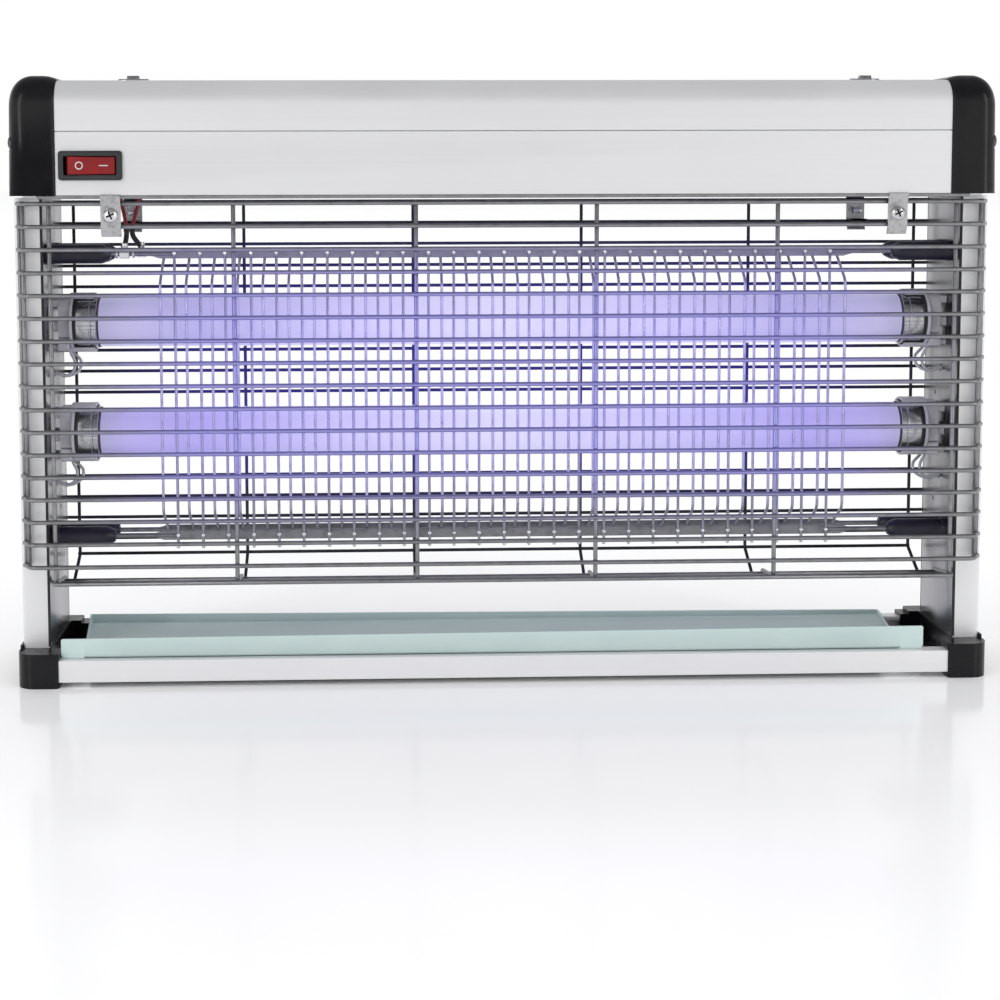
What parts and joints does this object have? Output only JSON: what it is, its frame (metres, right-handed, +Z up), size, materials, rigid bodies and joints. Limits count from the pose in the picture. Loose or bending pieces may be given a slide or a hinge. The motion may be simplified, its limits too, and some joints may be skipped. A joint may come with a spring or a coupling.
{
  "type": "electric bug zapper",
  "caption": "Wide free-standing or hanging insect killer with ultraviolet tubes behind a high-voltage wire grid, wire guards, aluminium housing and a pull-out tray.",
  "frame": {"origin": "centre of the footprint, on the ground", "axes": "+X along the tubes to the right seen from the front, -Y towards the front with the switch, +Z up"},
  "size_m": [0.489, 0.0951, 0.3049],
  "materials": {
    "silver_aluminium": "satin powder-coated silver white",
    "black_plastic": "glossy black moulding",
    "tray_green": "pale grey-green coating",
    "guard_wire": "grey galvanised wire",
    "grid_steel": "bright plated wire",
    "zinc": "bright zinc plate",
    "chrome": "polished plating",
    "tube_glass": "coated lamp glass, lit violet",
    "lampholder_white": "white moulding",
    "insulator_black": "glossy black sleeve",
    "switch_red": "red translucent moulding",
    "lead_red": "dark red insulation",
    "lead_white": "white insulation",
    "steel_can": "plain steel can"
  },
  "bodies": {
    "frame": {"housing_cover": "silver_aluminium", "housing_base": "silver_aluminium", "bottom_rail_front": "silver_aluminium", "bottom_rail_rear": "silver_aluminium", "guard_front": "guard_wire", "guard_rear": "guard_wire", "electrode_straight": "grid_steel", "electrode_hooked": "grid_steel", "switch_body": "black_plastic", "power_gland": "black_plastic", "ballast": "steel_can", "hv_transformer": "steel_can", "end_cap_left": "black_plastic", "leg_left": "silver_aluminium", "foot_left": "black_plastic", "hanger_left": "zinc", "insulator_front_top_left": "insulator_black", "insulator_rear_top_left": "insulator_black", "insulator_front_bottom_left": "insulator_black", "insulator_rear_bottom_left": "insulator_black", "end_cap_right": "black_plastic", "leg_right": "silver_aluminium", "foot_right": "black_plastic", "hanger_right": "zinc", "insulator_front_top_right": "insulator_black", "insulator_rear_top_right": "insulator_black", "insulator_front_bottom_right": "insulator_black", "insulator_rear_bottom_right": "insulator_black", "lampholder_upper_left": "lampholder_white", "lamp_lead_upper_left": "lead_white", "lampholder_upper_right": "lampholder_white", "lamp_lead_upper_right": "lead_white", "lampholder_lower_left": "lampholder_white", "lamp_lead_lower_left": "lead_white", "lampholder_lower_right": "lampholder_white", "lamp_lead_lower_right": "lead_white", "guard_clip_front_left": "zinc", "clip_screw_front_left": "chrome", "cap_screw_front_left": "chrome", "guard_clip_front_right": "zinc", "clip_screw_front_right": "chrome", "cap_screw_front_right": "chrome", "guard_clip_rear_left": "zinc", "clip_screw_rear_left": "chrome", "cap_screw_rear_left": "chrome", "guard_clip_rear_right": "zinc", "clip_screw_rear_right": "chrome", "cap_screw_rear_right": "chrome", "hv_lead_front": "lead_red", "hv_lead_rear": "lead_red"},
    "tray": {"tray": "tray_green"},
    "rocker": {"switch_rocker": "switch_red"},
    "tube_upper": {"tube_upper_glass": "tube_glass", "tube_upper_cap_left": "chrome", "tube_upper_cap_right": "chrome"},
    "tube_lower": {"tube_lower_glass": "tube_glass", "tube_lower_cap_left": "chrome", "tube_lower_cap_right": "chrome"},
    "ring_left": {"hanger_ring_left": "chrome"},
    "ring_right": {"hanger_ring_right": "chrome"}
  },
  "joints": [
    {"name": "tray_slide", "type": "slide", "parent": "frame", "child": "tray", "axis": [0, -1, 0], "range_m": [0, 0.09]},
    {"name": "rocker_hinge", "type": "hinge", "parent": "frame", "child": "rocker", "pos_m": [-0.203, -0.0384, 0.2593], "axis": [0, 0, 1], "range_deg": [-16, 0]},
    {"name": "tube_upper_twist", "type": "hinge", "parent": "frame", "child": "tube_upper", "pos_m": [0, 0, 0.1798], "axis": [1, 0, 0], "range_deg": [0, 90]},
    {"name": "tube_lower_twist", "type": "hinge", "parent": "frame", "child": "tube_lower", "pos_m": [0, 0, 0.1233], "axis": [1, 0, 0], "range_deg": [0, 90]},
    {"name": "ring_left_hinge", "type": "hinge", "parent": "frame", "child": "ring_left", "pos_m": [-0.187, 0, 0.3024], "axis": [1, 0, 0], "range_deg": [0, 180]},
    {"name": "ring_right_hinge", "type": "hinge", "parent": "frame", "child": "ring_right", "pos_m": [0.187, 0, 0.3024], "axis": [1, 0, 0], "range_deg": [0, 180]}
  ]
}
